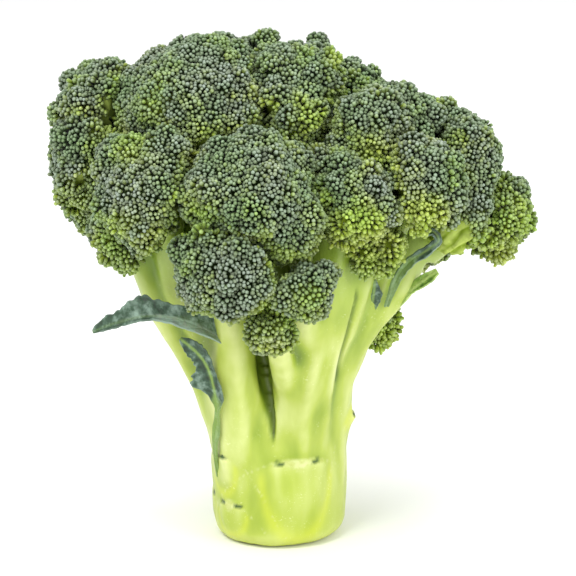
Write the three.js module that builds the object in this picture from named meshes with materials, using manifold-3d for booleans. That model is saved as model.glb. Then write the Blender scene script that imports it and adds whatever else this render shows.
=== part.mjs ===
// A head of broccoli, standing on the cut end of its stalk.
// Millimetres, +Z up, the origin at the centre of the cut face, and -Y towards the viewer.
// One thick stalk forks into branches, each branch carries a crown of flower buds, and a few of
// the small leaves that grew round the head are still on the stalk.

import * as THREE from "three";
import { ConvexHull } from "three/addons/math/ConvexHull.js";
import { mergeVertices } from "three/addons/utils/BufferGeometryUtils.js";
import Module from "manifold-3d";

const wasm = await Module();
wasm.setup();

// Driving dimensions.
const SEAT_GAP = 0.4; // between the stalk and a crown or a leaf that grows from it
const CROWN_GAP = 0.5; // between two crowns that press on each other
const CROWN_SOFTNESS = 1.4; // how gently a crown rounds off where it meets its neighbour
const UNDERSIDE = 0.42; // depth of a crown's underside, as a share of its dome
const BUD_PITCH = 12.6; // from one bunch of buds to the next on a large crown
const BUD_PITCH_SMALL = 8; // the same on the smallest crowns
const BUD_RISE = 0.3; // how far a bunch of buds stands out, as a share of the pitch
const LOWEST_BUDS = -0.22; // cos of the angle from a crown's axis where its buds end
const SEED = 20;

const X_AXIS = new THREE.Vector3(1, 0, 0);
const Z_AXIS = new THREE.Vector3(0, 0, 1);
const GOLDEN_ANGLE = Math.PI * (3 - Math.sqrt(5));

const vector = (point) => new THREE.Vector3(...point);

function seededRandom(seed) {
  let state = seed >>> 0;
  return () => {
    state = (state + 0x6d2b79f5) >>> 0;
    let t = Math.imul(state ^ (state >>> 15), 1 | state);
    t = (t + Math.imul(t ^ (t >>> 7), 61 | t)) ^ t;
    return ((t ^ (t >>> 14)) >>> 0) / 4294967296;
  };
}

// The value of an evenly spaced list at u, from 0 to 1 along it.
function along(list, u) {
  const place = Math.min(u, 0.999999) * (list.length - 1);
  const step = Math.floor(place);
  return THREE.MathUtils.lerp(list[step], list[step + 1], place - step);
}

// Two unit vectors that make a right-handed frame with the given one.
function sidesOf(axis) {
  const helper = Math.abs(axis.z) < 0.9 ? Z_AXIS : X_AXIS;
  const first = new THREE.Vector3().crossVectors(helper, axis).normalize();
  return [first, new THREE.Vector3().crossVectors(axis, first)];
}

// Solids: how points become closed bodies, and closed bodies become meshes.

function solidOf(points, triangles) {
  const geometry = new THREE.BufferGeometry().setFromPoints(points);
  geometry.setIndex(triangles);
  const merged = mergeVertices(geometry, 1e-4);
  const made = (corners) =>
    new wasm.Manifold(
      new wasm.Mesh({
        numProp: 3,
        vertProperties: merged.attributes.position.array,
        triVerts: new Uint32Array(corners),
      }),
    );
  const solid = made(merged.index.array);
  return solid.volume() > 0 ? solid : made([...merged.index.array].reverse());
}

// Closed body through a row of rings that all have the same number of points.
function loft(rings) {
  const sides = rings[0].length;
  const points = rings.flat();
  const triangles = [];
  for (let ring = 0; ring < rings.length - 1; ring++) {
    for (let side = 0; side < sides; side++) {
      const a = ring * sides + side;
      const b = ring * sides + ((side + 1) % sides);
      triangles.push(a, b, b + sides, a, b + sides, a + sides);
    }
  }
  for (const [ring, flip] of [
    [0, true],
    [rings.length - 1, false],
  ]) {
    const centre = points.length;
    const middle = new THREE.Vector3();
    rings[ring].forEach((point) => middle.addScaledVector(point, 1 / sides));
    points.push(middle);
    for (let side = 0; side < sides; side++) {
      const a = ring * sides + side;
      const b = ring * sides + ((side + 1) % sides);
      triangles.push(...(flip ? [centre, b, a] : [centre, a, b]));
    }
  }
  return solidOf(points, triangles);
}

function largestBody(solid) {
  return solid.decompose().sort((a, b) => b.volume() - a.volume())[0];
}

function meshOf(name, solid, material) {
  const { numProp, numVert, vertProperties, triVerts } = solid.getMesh();
  const positions = new Float32Array(numVert * 3);
  for (let i = 0; i < numVert; i++) {
    positions.set(vertProperties.subarray(i * numProp, i * numProp + 3), i * 3);
  }
  const geometry = new THREE.BufferGeometry();
  geometry.setAttribute("position", new THREE.BufferAttribute(positions, 3));
  geometry.setIndex(new THREE.BufferAttribute(triVerts, 1));
  geometry.computeVertexNormals();
  const mesh = new THREE.Mesh(geometry, material);
  mesh.name = name;
  return mesh;
}

// Crowns: domes of flower buds, each cut off flat where it presses on a neighbour.
// Each crown's centre, half its width, the height of its dome and the way it faces.

const CROWNS = {
  crown_front: { at: [-8.8, -37.5, 128.8], wide: 27.8, high: 29, faces: [-0.05, -0.83, 0.55] },
  crown_front_low: { at: [-15.6, -46.1, 115.6], wide: 20.8, high: 20, faces: [-0.35, -0.92, -0.1] },
  crown_left_front: { at: [-42, -28, 135], wide: 26, high: 21, faces: [-0.48, -0.62, 0.62] },
  crown_left_low: { at: [-54, -19, 119.5], wide: 13, high: 12, faces: [-0.75, -0.6, 0] },
  crown_left_edge: { at: [-60, 2, 141], wide: 24.5, high: 21, faces: [-0.95, -0.15, 0.25] },
  crown_left_top: { at: [-58, 7.1, 148.2], wide: 27.8, high: 27, faces: [-0.55, -0.1, 0.83] },
  crown_top: { at: [-26.1, -1.5, 152.3], wide: 34.5, high: 32, faces: [-0.15, -0.25, 0.96] },
  crown_top_middle: { at: [4.4, 3.2, 152.7], wide: 32.5, high: 31, faces: [0.1, -0.2, 0.97] },
  crown_top_right: { at: [20.2, 8.9, 149.3], wide: 26.5, high: 28, faces: [0.3, -0.15, 0.94] },
  crown_right_upper: { at: [35.2, -11, 138.7], wide: 31.5, high: 30, faces: [0.3, -0.5, 0.8] },
  crown_right: { at: [54, -5, 132.5], wide: 30.2, high: 28, faces: [0.66, -0.33, 0.68] },
  crown_right_edge: { at: [75.5, -4, 124], wide: 15, high: 14, faces: [0.95, -0.2, -0.1] },
  crown_right_front: { at: [46.6, -27.1, 138.1], wide: 17.8, high: 16, faces: [0.35, -0.85, 0.3] },
  crown_centre_right: { at: [23.6, -32.2, 133.3], wide: 19.5, high: 18, faces: [0.2, -0.9, 0.35] },
  crown_cleft: { at: [32.5, -30, 116], wide: 9.5, high: 9, faces: [0.3, -0.9, 0.1] },
  crown_low_front: { at: [6.3, -49.5, 108.1], wide: 12.9, high: 11.5, faces: [0.3, -0.92, -0.2] },
  crown_lowest: { at: [-3, -47, 92], wide: 9.5, high: 9, faces: [0, -0.9, -0.35] },
  crown_side_low: { at: [34.5, 8, 79.5], wide: 9.5, high: 11, faces: [0.6, 0.2, -0.75] },
  crown_top_back: { at: [-11.7, 25.3, 146.7], wide: 34.5, high: 31, faces: [-0.05, 0.45, 0.89] },
  crown_right_back: { at: [33, 20.8, 137], wide: 31.8, high: 28, faces: [0.4, 0.45, 0.8] },
  crown_left_back: { at: [-40.6, 31.4, 128.2], wide: 33, high: 31, faces: [-0.6, 0.65, 0.45] },
  crown_back: { at: [3, 42.5, 121.1], wide: 34, high: 32, faces: [0, 0.88, 0.48] },
  crown_back_right: { at: [41.4, 33.4, 120.4], wide: 31, high: 30, faces: [0.65, 0.65, 0.4] },
  crown_left_side: { at: [-60, 21, 127.5], wide: 19, high: 18, faces: [-0.8, 0.4, 0.45] },
  crown_right_side: { at: [62, 15, 124], wide: 19, high: 18, faces: [0.8, 0.4, 0.45] },
  crown_back_low: { at: [-18, 50, 96], wide: 14, high: 12, faces: [-0.25, 0.95, -0.1] },
};

const crowns = Object.entries(CROWNS).map(([name, row], index) => ({
  name,
  centre: vector(row.at),
  wide: row.wide,
  high: row.high,
  axis: vector(row.faces).normalize(),
  random: seededRandom(SEED + index),
}));
const crownNamed = (name) => crowns.find((crown) => crown.name === name);

// Distance from a crown's centre to its plain dome or underside along a unit vector.
function domeReach(crown, way) {
  const up = way.dot(crown.axis);
  const side = Math.sqrt(Math.max(0, 1 - up * up));
  const depth = up > 0 ? crown.high : crown.high * UNDERSIDE;
  return 1 / Math.hypot(up / depth, side / crown.wide);
}

// A flat wall stands between each two neighbours, where their domes would meet.
const LEAST_REACH = 2; // from a crown's centre to any of its surface
const LEAST_DEPTH = 0.22; // from a crown's centre to any wall, as a share of its reach
const wallDepth = (reach) => Math.max(LEAST_DEPTH * reach, LEAST_REACH + CROWN_GAP);

for (const crown of crowns) {
  crown.walls = [];
  for (const other of crowns) {
    const across = other.centre.clone().sub(crown.centre);
    const apart = across.length();
    const way = across.clone().normalize();
    const own = domeReach(crown, way);
    const theirs = domeReach(other, way.clone().negate());
    if (other === crown || apart > crown.wide + other.wide + BUD_PITCH) continue;
    const meet = (apart ** 2 + own ** 2 - theirs ** 2) / (2 * apart);
    const distance = THREE.MathUtils.clamp(meet, wallDepth(own), apart - wallDepth(theirs));
    crown.walls.push({ normal: way, distance: distance - CROWN_GAP / 2 });
  }
}

// Lobes swell out of the dome at places on a spiral, as its side branches grew.
const LOBE_PITCH = 4.2; // half width of the crown that goes with one lobe
const LOBE_SPREAD = 0.95; // cos of the angle from the dome's top that the lobes cover
const LOBE_OUT = 0.56; // from the crown's centre to a lobe's, as a share of the half width
const LOBE_SIZE = 0.46; // a lobe's radius, as a share of the half width
const LOBE_VARIES = 0.08; // the most that is added to that share

function lobesOf(crown) {
  const [first, second] = sidesOf(crown.axis);
  const count = Math.round(crown.wide / LOBE_PITCH);
  return Array.from({ length: count }, (_, i) => {
    const up = 1 - (LOBE_SPREAD * (i + 0.35)) / count;
    const side = Math.sqrt(1 - up * up);
    const turn = i * GOLDEN_ANGLE + crown.random();
    const way = crown.axis.clone().multiplyScalar(up);
    way.addScaledVector(first, side * Math.cos(turn));
    way.addScaledVector(second, side * Math.sin(turn));
    const size = LOBE_SIZE + LOBE_VARIES * crown.random();
    return { centre: way.multiplyScalar(crown.wide * LOBE_OUT), radius: crown.wide * size };
  });
}
for (const crown of crowns) crown.lobes = lobesOf(crown);

// Distance from a crown's centre to its surface along a unit vector, with rise added on top.
// Between its lobes the surface is a little inside the plain dome, and no lobe stands far out.
const DOME_FLOOR = 0.93;
const DOME_CEILING = 1.04;
const LOWEST_LOBE = -0.15; // cos of the angle from the axis below which no lobe counts
const LEAST_SLOPE = 0.05; // a wall that is met at a flatter slope than this is out of reach

function crownReach(crown, way, rise) {
  const dome = domeReach(crown, way);
  let reach = DOME_FLOOR * dome;
  if (way.dot(crown.axis) > LOWEST_LOBE) {
    for (const lobe of crown.lobes) {
      const nearest = way.dot(lobe.centre);
      const inside = nearest ** 2 - lobe.centre.lengthSq() + lobe.radius ** 2;
      if (inside > 0 && nearest > 0) reach = Math.max(reach, nearest + Math.sqrt(inside));
    }
  }
  reach = Math.min(reach, DOME_CEILING * dome) + rise;
  for (const wall of crown.walls) {
    const slope = way.dot(wall.normal);
    if (slope < LEAST_SLOPE) continue;
    const limit = wall.distance / slope;
    const apart = Math.abs(reach - limit) / CROWN_SOFTNESS;
    reach = Math.min(reach, limit) - CROWN_SOFTNESS * Math.log1p(Math.exp(-apart));
  }
  return Math.max(reach, LEAST_REACH);
}

// The ways from a crown's centre to its bunches of buds, and a few to its plain underside.
// Where the crown presses on a neighbour only one in three is kept, and that one stays flat.
const SMALLEST_WIDE = 9; // half widths of the crowns that have the small pitch and the full one
const LARGE_WIDE = 23;
const BUNCH_AREA = 0.87; // of a bunch, as a share of the pitch squared
const BUD_SHAKE = 0.3;
const UNDERSIDE_WAYS = 7;
const UNDERSIDE_UP = -0.72; // cos of the angle from the axis at which they stand
const FREE_RISE = 40; // more than any bunch could stand out

function budWays(crown) {
  const [first, second] = sidesOf(crown.axis);
  const size = (crown.wide - SMALLEST_WIDE) / (LARGE_WIDE - SMALLEST_WIDE);
  const pitch = THREE.MathUtils.lerp(BUD_PITCH_SMALL, BUD_PITCH, THREE.MathUtils.clamp(size, 0, 1));
  const area = 2 * Math.PI * crown.wide * crown.high * (1 - LOWEST_BUDS);
  const count = Math.round(area / (pitch ** 2 * BUNCH_AREA));
  const ways = [];
  const add = (up, turn, rise) => {
    const side = Math.sqrt(Math.max(0, 1 - up * up));
    const way = crown.axis.clone().multiplyScalar(up);
    way.addScaledVector(first, side * Math.cos(turn));
    way.addScaledVector(second, side * Math.sin(turn));
    ways.push({ way: way.normalize(), rise });
  };
  for (let i = 0; i < count; i++) {
    const shake = (BUD_SHAKE * (crown.random() - 0.5)) / Math.sqrt(count);
    const up = THREE.MathUtils.lerp(1, LOWEST_BUDS, (i + 0.5) / count) + shake;
    const rise = pitch * BUD_RISE * (0.8 + 0.4 * crown.random());
    add(THREE.MathUtils.clamp(up, -1, 1), i * GOLDEN_ANGLE + shake * 4, rise);
    const { way } = ways.at(-1);
    const pressed = crownReach(crown, way, FREE_RISE) - crownReach(crown, way, 0) < rise;
    if (pressed && i % 3) ways.pop();
  }
  for (let i = 0; i < UNDERSIDE_WAYS; i++) {
    add(UNDERSIDE_UP, (2 * Math.PI * i) / UNDERSIDE_WAYS, 0);
  }
  add(-1, 0, 0);
  return ways;
}

// Each bunch of buds is a low knob: a centre, a shoulder round it, and a valley that it shares
// with the next knobs. The valleys lie over the triangles that join neighbouring ways.
const SHOULDER_OUT = 0.6; // from a knob's centre towards the valley
const SHOULDER_RISE = 0.78; // of the centre's rise

function crownSolid(crown) {
  const buds = budWays(crown);
  const numbers = new Map(buds.map((bud, i) => [bud.way, i]));
  const around = buds.map(() => []);
  const points = [];
  const triangles = [];
  const put = (way, rise) => {
    const reach = crownReach(crown, way, rise);
    return points.push(way.clone().multiplyScalar(reach)) - 1;
  };
  for (const face of new ConvexHull().setFromPoints(buds.map((bud) => bud.way)).faces) {
    const corners = [0, 1, 2].map((i) => face.getEdge(i).head().point);
    const way = new THREE.Vector3();
    corners.forEach((corner) => way.add(corner));
    way.normalize();
    const valley = { way, point: put(way, 0) };
    corners.forEach((corner) => around[numbers.get(corner)].push(valley));
  }
  buds.forEach(({ way, rise }, i) => {
    const [first, second] = sidesOf(way);
    const angle = (valley) => Math.atan2(valley.way.dot(second), valley.way.dot(first));
    const ring = around[i].sort((a, b) => angle(a) - angle(b));
    const free = crownReach(crown, way, FREE_RISE) - crownReach(crown, way, 0);
    const stands = rise > 0 && free > rise;
    const centre = put(way, stands ? rise : 0);
    const shoulders = ring.map((valley) =>
      stands
        ? put(way.clone().lerp(valley.way, SHOULDER_OUT).normalize(), rise * SHOULDER_RISE)
        : centre,
    );
    ring.forEach((valley, k) => {
      const next = (k + 1) % ring.length;
      if (stands) {
        triangles.push(centre, shoulders[k], shoulders[next]);
        triangles.push(shoulders[k], valley.point, ring[next].point);
        triangles.push(shoulders[k], ring[next].point, shoulders[next]);
      } else {
        triangles.push(centre, valley.point, ring[next].point);
      }
    });
  });
  return solidOf(points, triangles).translate(crown.centre.toArray());
}

// Stalk: the one body that carries everything else.
// A trunk, the branches that leave it, the forks at their ends and the stubs of cut leaves.
// Every piece is made a little thicker when the crowns and leaves are cut back from it.

const TRUNK = [
  { z: 0, radius: 22.6 },
  { z: 1.2, radius: 24 },
  { z: 5, radius: 24.8 },
  { z: 12, radius: 24.8 },
  { z: 20, radius: 25.2 },
  { z: 28, radius: 25.4 },
  { z: 38, radius: 24.6 },
  { z: 50, radius: 22.5 },
  { z: 66, radius: 18 },
  { z: 90, radius: 13 },
  { z: 120, radius: 10 },
];
const TRUNK_SIDES = 20;
const TRUNK_MIDDLE = -0.6; // along X

// Swellings below the scars of old leaves: the way that each faces, its height on the trunk,
// its half width and half height, and how far it stands out.
const SWELLINGS = [
  { facing: -72, z: 16, wide: 15, tall: 13, out: 1.4 },
  { facing: -135, z: 9, wide: 11, tall: 10, out: 1.2 },
  { facing: 165, z: 24, wide: 12, tall: 10, out: 1.3 },
  { facing: 20, z: 20, wide: 13, tall: 12, out: 1.2 },
  { facing: 95, z: 13, wide: 15, tall: 12, out: 1.4 },
];
const SWELLING_FADE = 1.4; // how fast a swelling dies away

function trunkSolid(ease) {
  const rings = TRUNK.map(({ z, radius }, level) =>
    Array.from({ length: TRUNK_SIDES }, (_, side) => {
      const turn = (side / TRUNK_SIDES) * 2 * Math.PI;
      let out = radius + ease;
      for (const swelling of SWELLINGS) {
        const facing = THREE.MathUtils.degToRad(swelling.facing);
        const apart = Math.atan2(Math.sin(turn - facing), Math.cos(turn - facing)) * radius;
        const far = (apart / swelling.wide) ** 2 + ((z - swelling.z) / swelling.tall) ** 2;
        out += swelling.out * Math.exp(-SWELLING_FADE * far);
      }
      const height = level ? z : z - ease;
      return new THREE.Vector3(TRUNK_MIDDLE + Math.cos(turn) * out, Math.sin(turn) * out, height);
    }),
  );
  return loft(rings);
}

// Round tapered tube along a smooth line. Its ends are plain flat caps.
const SIDES = 7;
const RING_STEP = 17; // between the rings of a branch

function limb(route, girth, sides, ease) {
  const curve = new THREE.CatmullRomCurve3(route);
  const steps = Math.max(route.length - 1, Math.round(curve.getLength() / RING_STEP));
  const { normals, binormals } = curve.computeFrenetFrames(steps);
  const rings = Array.from({ length: steps + 1 }, (_, step) => {
    const radius = along(girth, step / steps) + ease;
    const centre = curve.getPointAt(step / steps);
    if (step === 0 || step === steps) {
      centre.addScaledVector(curve.getTangentAt(step / steps), step ? ease : -ease);
    }
    return Array.from({ length: sides }, (_, side) => {
      const turn = (side / sides) * 2 * Math.PI;
      const point = centre.clone().addScaledVector(normals[step], Math.cos(turn) * radius);
      return point.addScaledVector(binormals[step], Math.sin(turn) * radius);
    });
  });
  return loft(rings);
}

// The branches that can be seen, each by the points that it passes and its radii along them.
// The last point of a branch to a crown is that crown's seat.
const BRANCHES = [
  {
    to: "crown_front",
    route: [[-13, -10, 26], [-16, -15, 50], [-17, -20, 74]],
    girth: [11, 11.5, 11, 10],
  },
  {
    to: "crown_centre_right",
    route: [[6, -11, 24], [6.5, -14, 50], [9, -19, 72]],
    girth: [12, 12.5, 13, 8],
  },
  { to: "crown_front_low", route: [[-17, -21, 68], [-18, -31, 92]], girth: [8, 7, 6] },
  {
    to: "crown_low_front",
    route: [[8, -13, 60], [9, -25, 78], [8, -37, 93]],
    girth: [8, 7, 5.5, 5],
  },
  { to: "crown_lowest", route: [[5, -12, 50], [2, -26, 68], [-1, -38, 81]], girth: [7, 6, 5, 4] },
  {
    to: "crown_right",
    route: [[16, -5, 22], [16.5, -6, 46], [20, -8, 67], [32, -10, 87], [47, -9, 104]],
    girth: [9, 9, 9, 8, 7, 7],
  },
  { to: "crown_right_edge", route: [[53, -8, 108]], girth: [5.5, 4] },
  { to: "crown_right_front", route: [[20, -12, 72], [34, -17, 102]], girth: [7, 6, 5.5] },
  { to: "crown_right_upper", route: [[10, -4, 66], [26, -8, 108]], girth: [9, 8, 7] },
  { to: "crown_cleft", route: [[16, -17, 70], [27, -23, 94]], girth: [6, 4.5, 4] },
  { to: "crown_side_low", route: [[15, 5, 42], [25, 8, 59]], girth: [6, 4.5, 4] },
  {
    to: "crown_left_edge",
    route: [[-15.5, -5, 28], [-23, -8, 54], [-34, -9, 76], [-47.5, -7, 98]],
    girth: [9.5, 8.5, 7.5, 6.5, 5.5],
  },
  { to: "crown_left_low", route: [[-33, -11, 72], [-46, -13, 95]], girth: [6, 5.5, 4.5] },
  {
    to: "crown_left_front",
    route: [[-14, -9, 52], [-27, -15, 80], [-39, -18, 104]],
    girth: [8, 7, 6.5, 6.5],
  },
  { to: "crown_left_top", route: [[-8, 2, 62], [-28, 4, 100]], girth: [9, 8, 7] },
  { to: "crown_top", route: [[-3, 0, 70], [-12, 0, 112]], girth: [11, 9, 8] },
  { to: "crown_top_middle", route: [[1, 1, 74], [2, 2, 118]], girth: [10, 9, 8] },
  { to: "crown_top_right", route: [[4, 2, 80], [11, 3, 120]], girth: [9, 8, 7] },
  { to: "crown_top_back", route: [[-3, 6, 70], [-7, 18, 112]], girth: [9, 8, 7] },
  { to: "crown_right_back", route: [[6, 6, 62], [22, 15, 102]], girth: [9, 8, 7] },
  {
    to: "crown_left_back",
    route: [[-9, 11, 26], [-14, 16, 54], [-26, 26, 86]],
    girth: [11, 10, 9, 7.5],
  },
  { to: "crown_back", route: [[2, 13, 24], [2, 18, 54], [3, 30, 84]], girth: [12, 11, 9.5, 8] },
  {
    to: "crown_back_right",
    route: [[12, 11, 26], [17, 16, 52], [30, 27, 82]],
    girth: [10, 9.5, 8.5, 7],
  },
  { to: "crown_left_side", route: [[-22, 4, 58], [-46, 13, 92]], girth: [7.5, 6, 5] },
  { to: "crown_right_side", route: [[14, 9, 52], [35, 17, 88]], girth: [7.5, 6, 5] },
  { to: "crown_back_low", route: [[-6, 20, 56], [-13, 38, 80]], girth: [7, 5.5, 4.5] },
];

// Flat stem of a cut leaf that runs up the right side, and the short stub lower down.
const LEAF_STEMS = [
  {
    route: [[20, -4, 34], [22, -5, 50], [24, -6, 65], [31.5, -7, 79], [40, -8, 89]],
    girth: [4.5, 4.8, 4.2, 3.8, 3.2],
  },
  { route: [[20, -7, 42.5], [24.5, -7, 45], [28.6, -7, 48]], girth: [4, 2.6, 1] },
];

const SEAT_DEPTH = 0.15; // from a crown's centre down to its seat, as a share of its height

function branchRoute({ to, route }) {
  const crown = crownNamed(to);
  const seat = crown.centre.clone().addScaledVector(crown.axis, -SEAT_DEPTH * crown.high);
  return [...route.map(vector), seat];
}

// Crowns with an open underside. Short forks spread into it from below the crown's seat.
const FORKED = [
  "crown_front",
  "crown_left_front",
  "crown_left_edge",
  "crown_right",
  "crown_left_back",
  "crown_back",
  "crown_back_right",
];
const FORKS = 3;
const FORK_SIDES = 5;
const FORK_GIRTH = [4.4, 3.4];
const FORK_START = 0.85; // from the seat back down the branch, as a share of the crown's height
const FORK_REACH = 0.62; // from the crown's centre, as a share of the way to its surface
const FORK_DROP = -0.22; // how far the forks lean back from the crown's axis

function forkSolids(branch, ease) {
  const crown = crownNamed(branch.to);
  if (!FORKED.includes(branch.to)) return [];
  const curve = new THREE.CatmullRomCurve3(branchRoute(branch));
  const length = curve.getLength();
  const start = curve.getPointAt(1 - Math.min(0.5, (FORK_START * crown.high) / length));
  const [first, second] = sidesOf(crown.axis);
  return Array.from({ length: FORKS }, (_, i) => {
    const turn = ((i + 0.5) / FORKS) * 2 * Math.PI;
    const way = crown.axis.clone().multiplyScalar(FORK_DROP);
    way.addScaledVector(first, Math.cos(turn)).addScaledVector(second, Math.sin(turn)).normalize();
    const reach = FORK_REACH * crownReach(crown, way, 0);
    const end = crown.centre.clone().addScaledVector(way, reach);
    return limb([start, end], FORK_GIRTH, FORK_SIDES, ease);
  });
}

function stalkSolid(ease) {
  const pieces = [trunkSolid(ease)];
  for (const branch of BRANCHES) {
    pieces.push(limb(branchRoute(branch), branch.girth, SIDES, ease));
    pieces.push(...forkSolids(branch, ease));
  }
  for (const stem of LEAF_STEMS) {
    pieces.push(limb(stem.route.map(vector), stem.girth, SIDES, ease));
  }
  // The outer skin alone, so that no pocket is left closed in where branches cross.
  const whole = largestBody(pieces.reduce((sum, piece) => sum.add(piece)));
  return ease > 0 ? whole : whole.trimByPlane([0, 0, 1], 0);
}

// Leaves: thin blades with a thick midrib.
// Each leaf follows its midrib. The blade's two half widths are given at even steps along it,
// so their rise and fall draws the lobes of its edge, and fold lifts both sides into a trough.

const BLADE_THICK = 1.1;
const RIB_THICK = 2.4;

const LEAVES = {
  leaf_long: {
    route: [
      [-15, -29, 78],
      [-26, -33, 85.5],
      [-37, -34.5, 90.5],
      [-48, -35, 91.5],
      [-58, -34, 89],
      [-67, -31, 85],
    ],
    left: [1.2, 2, 2.5, 3, 3.5, 3, 2.6, 2, 0.7],
    right: [1.2, 4.5, 5.5, 8.5, 6, 6.5, 4.2, 4, 0.7],
    facing: [0.05, -0.8, 0.55],
    fold: 0.45,
    wave: 0.7,
  },
  leaf_hanging: {
    route: [
      [-23, -12, 25],
      [-24, -20, 39],
      [-23, -26, 53],
      [-25.5, -29, 63],
      [-30, -29.5, 72],
      [-36.5, -27.5, 80],
    ],
    left: [1.2, 1.2, 1.3, 1.4, 2, 5.5, 3.8, 3.4, 0.7],
    right: [1.2, 1.2, 1.3, 2.6, 3, 3.6, 4.8, 3.2, 0.7],
    facing: [-0.45, -0.85, 0.1],
    fold: 0.25,
    wave: 0.8,
  },
  leaf_curled: {
    route: [
      [38, -19, 92],
      [41, -26, 103],
      [45.5, -29, 110],
      [51.5, -30, 114.5],
      [55.5, -30, 118],
      [53.5, -31, 121.5],
      [50.3, -32, 120],
    ],
    left: [1.2, 2, 2.6, 2.6, 2.2, 1.5, 0.8],
    right: [1.2, 2, 2.8, 2.6, 2.2, 1.5, 0.8],
    facing: [0.3, -0.9, 0.3],
    fold: 0.7,
    wave: 0.1,
  },
  leaf_cut: {
    route: [[42, -11.5, 90], [46.5, -14, 94.5], [51.5, -15.5, 98], [57.5, -16, 101]],
    left: [1.8, 2, 1.4, 2, 1.8, 1],
    right: [1.5, 1.8, 1.6, 2, 2.2, 1],
    facing: [-0.3, -0.8, 0.4],
    fold: 0.2,
    wave: 0.3,
  },
  leaf_inner: {
    route: [[31, -14, 86], [33, -21, 95], [33.5, -24.5, 103]],
    left: [1.2, 2.8, 2.2, 0.8],
    right: [1.2, 2.4, 2.8, 0.8],
    facing: [0.2, -0.95, 0.1],
    fold: 0.3,
    wave: 0.3,
  },
};
const BLADE_ROWS = 14;
const BLADE_COLUMNS = 4;
const RIPPLES = 21; // waves along the edge, in radians from one end of the blade to the other
const RIPPLE_SHIFT = 1.3; // from one edge's waves to the other's
const RIB_WIDTH = 0.45; // half width of the midrib, as a share of the blade's

function bladeSolid({ route, left, right, facing, fold, wave }) {
  const curve = new THREE.CatmullRomCurve3(route.map(vector));
  const front = vector(facing).normalize();
  const faces = { top: [], bottom: [] };
  for (let row = 0; row <= BLADE_ROWS; row++) {
    const u = row / BLADE_ROWS;
    const spine = curve.getPointAt(u);
    const side = new THREE.Vector3().crossVectors(curve.getTangentAt(u), front).normalize();
    const normal = new THREE.Vector3().crossVectors(side, curve.getTangentAt(u)).normalize();
    for (let column = 0; column <= BLADE_COLUMNS; column++) {
      const v = (2 * column) / BLADE_COLUMNS - 1;
      const half = Math.abs(v) * (v < 0 ? along(left, u) : along(right, u));
      const ripple = wave * v * v * Math.sin(u * RIPPLES + (v < 0 ? RIPPLE_SHIFT : 0));
      const middle = spine.clone().addScaledVector(side, Math.sign(v) * half);
      middle.addScaledVector(normal, fold * half + ripple);
      const thin = Math.min(1, Math.abs(v) / RIB_WIDTH);
      const thick = THREE.MathUtils.lerp(RIB_THICK, BLADE_THICK, thin);
      faces.top.push(middle.clone().addScaledVector(normal, BLADE_THICK / 2));
      faces.bottom.push(middle.addScaledVector(normal, BLADE_THICK / 2 - thick));
    }
  }
  const wide = BLADE_COLUMNS + 1;
  const below = faces.top.length;
  const triangles = [];
  const quad = (a, b, c, d) => triangles.push(a, b, c, a, c, d);
  for (let row = 0; row < BLADE_ROWS; row++) {
    for (let column = 0; column < BLADE_COLUMNS; column++) {
      const a = row * wide + column;
      const b = a + 1;
      const c = b + wide;
      const d = a + wide;
      quad(a, b, c, d);
      triangles.push(below + a, below + c, below + b, below + a, below + d, below + c);
    }
    const start = row * wide;
    const end = start + BLADE_COLUMNS;
    quad(start, start + wide, below + start + wide, below + start);
    quad(end + wide, end, below + end, below + end + wide);
  }
  const last = BLADE_ROWS * wide;
  for (let column = 0; column < BLADE_COLUMNS; column++) {
    quad(column + 1, column, below + column, below + column + 1);
    quad(last + column, last + column + 1, below + last + column + 1, below + last + column);
  }
  return solidOf([...faces.top, ...faces.bottom], triangles);
}

// The whole head: everything that grows from the stalk is cut back to clear it.

const finish = (color, roughness) =>
  new THREE.MeshStandardMaterial({ color, roughness, metalness: 0, flatShading: true });
const STALK_GREEN = finish(0xc3d66b, 0.5);
const BUD_GREEN = finish(0x56704a, 0.8);
const LEAF_GREEN = finish(0x4c6a5c, 0.7);

const broccoli = new THREE.Group();
const easedStalk = stalkSolid(SEAT_GAP);
const crownSolids = crowns.map((crown) => largestBody(crownSolid(crown).subtract(easedStalk)));

broccoli.add(meshOf("stalk", stalkSolid(0), STALK_GREEN));
crowns.forEach((crown, i) => broccoli.add(meshOf(crown.name, crownSolids[i], BUD_GREEN)));
for (const [name, leaf] of Object.entries(LEAVES)) {
  const blade = largestBody(bladeSolid(leaf).subtract(easedStalk));
  broccoli.add(meshOf(name, blade, LEAF_GREEN));
}

export default broccoli;
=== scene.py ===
# A head of broccoli standing on its cut stalk, dressed over its CAD model.
# Metres, +Z up, -Y towards the viewer, the origin at the centre of the cut face.

import math

import bpy
import numpy as np
from mathutils import Matrix, Vector, kdtree, noise
from mathutils.bvhtree import BVHTree


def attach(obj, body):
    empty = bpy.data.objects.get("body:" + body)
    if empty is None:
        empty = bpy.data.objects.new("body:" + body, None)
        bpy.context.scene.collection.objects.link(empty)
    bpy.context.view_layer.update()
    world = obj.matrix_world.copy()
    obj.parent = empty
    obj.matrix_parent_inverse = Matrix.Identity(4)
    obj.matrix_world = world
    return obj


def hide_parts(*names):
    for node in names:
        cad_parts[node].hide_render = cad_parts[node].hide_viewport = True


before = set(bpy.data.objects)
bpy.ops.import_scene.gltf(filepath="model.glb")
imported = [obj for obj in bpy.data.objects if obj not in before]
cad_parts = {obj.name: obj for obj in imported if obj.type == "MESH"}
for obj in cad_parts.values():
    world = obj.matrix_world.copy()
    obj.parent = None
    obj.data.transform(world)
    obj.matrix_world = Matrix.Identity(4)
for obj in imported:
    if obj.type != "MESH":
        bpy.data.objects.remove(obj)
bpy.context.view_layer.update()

# The stalk.
# Crisp pale green flesh under a thin waxy skin, one growth from the cut foot up into every branch.
# The CAD limbs are melted together, then ridges and the shields of old leaves are raised on them.

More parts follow.
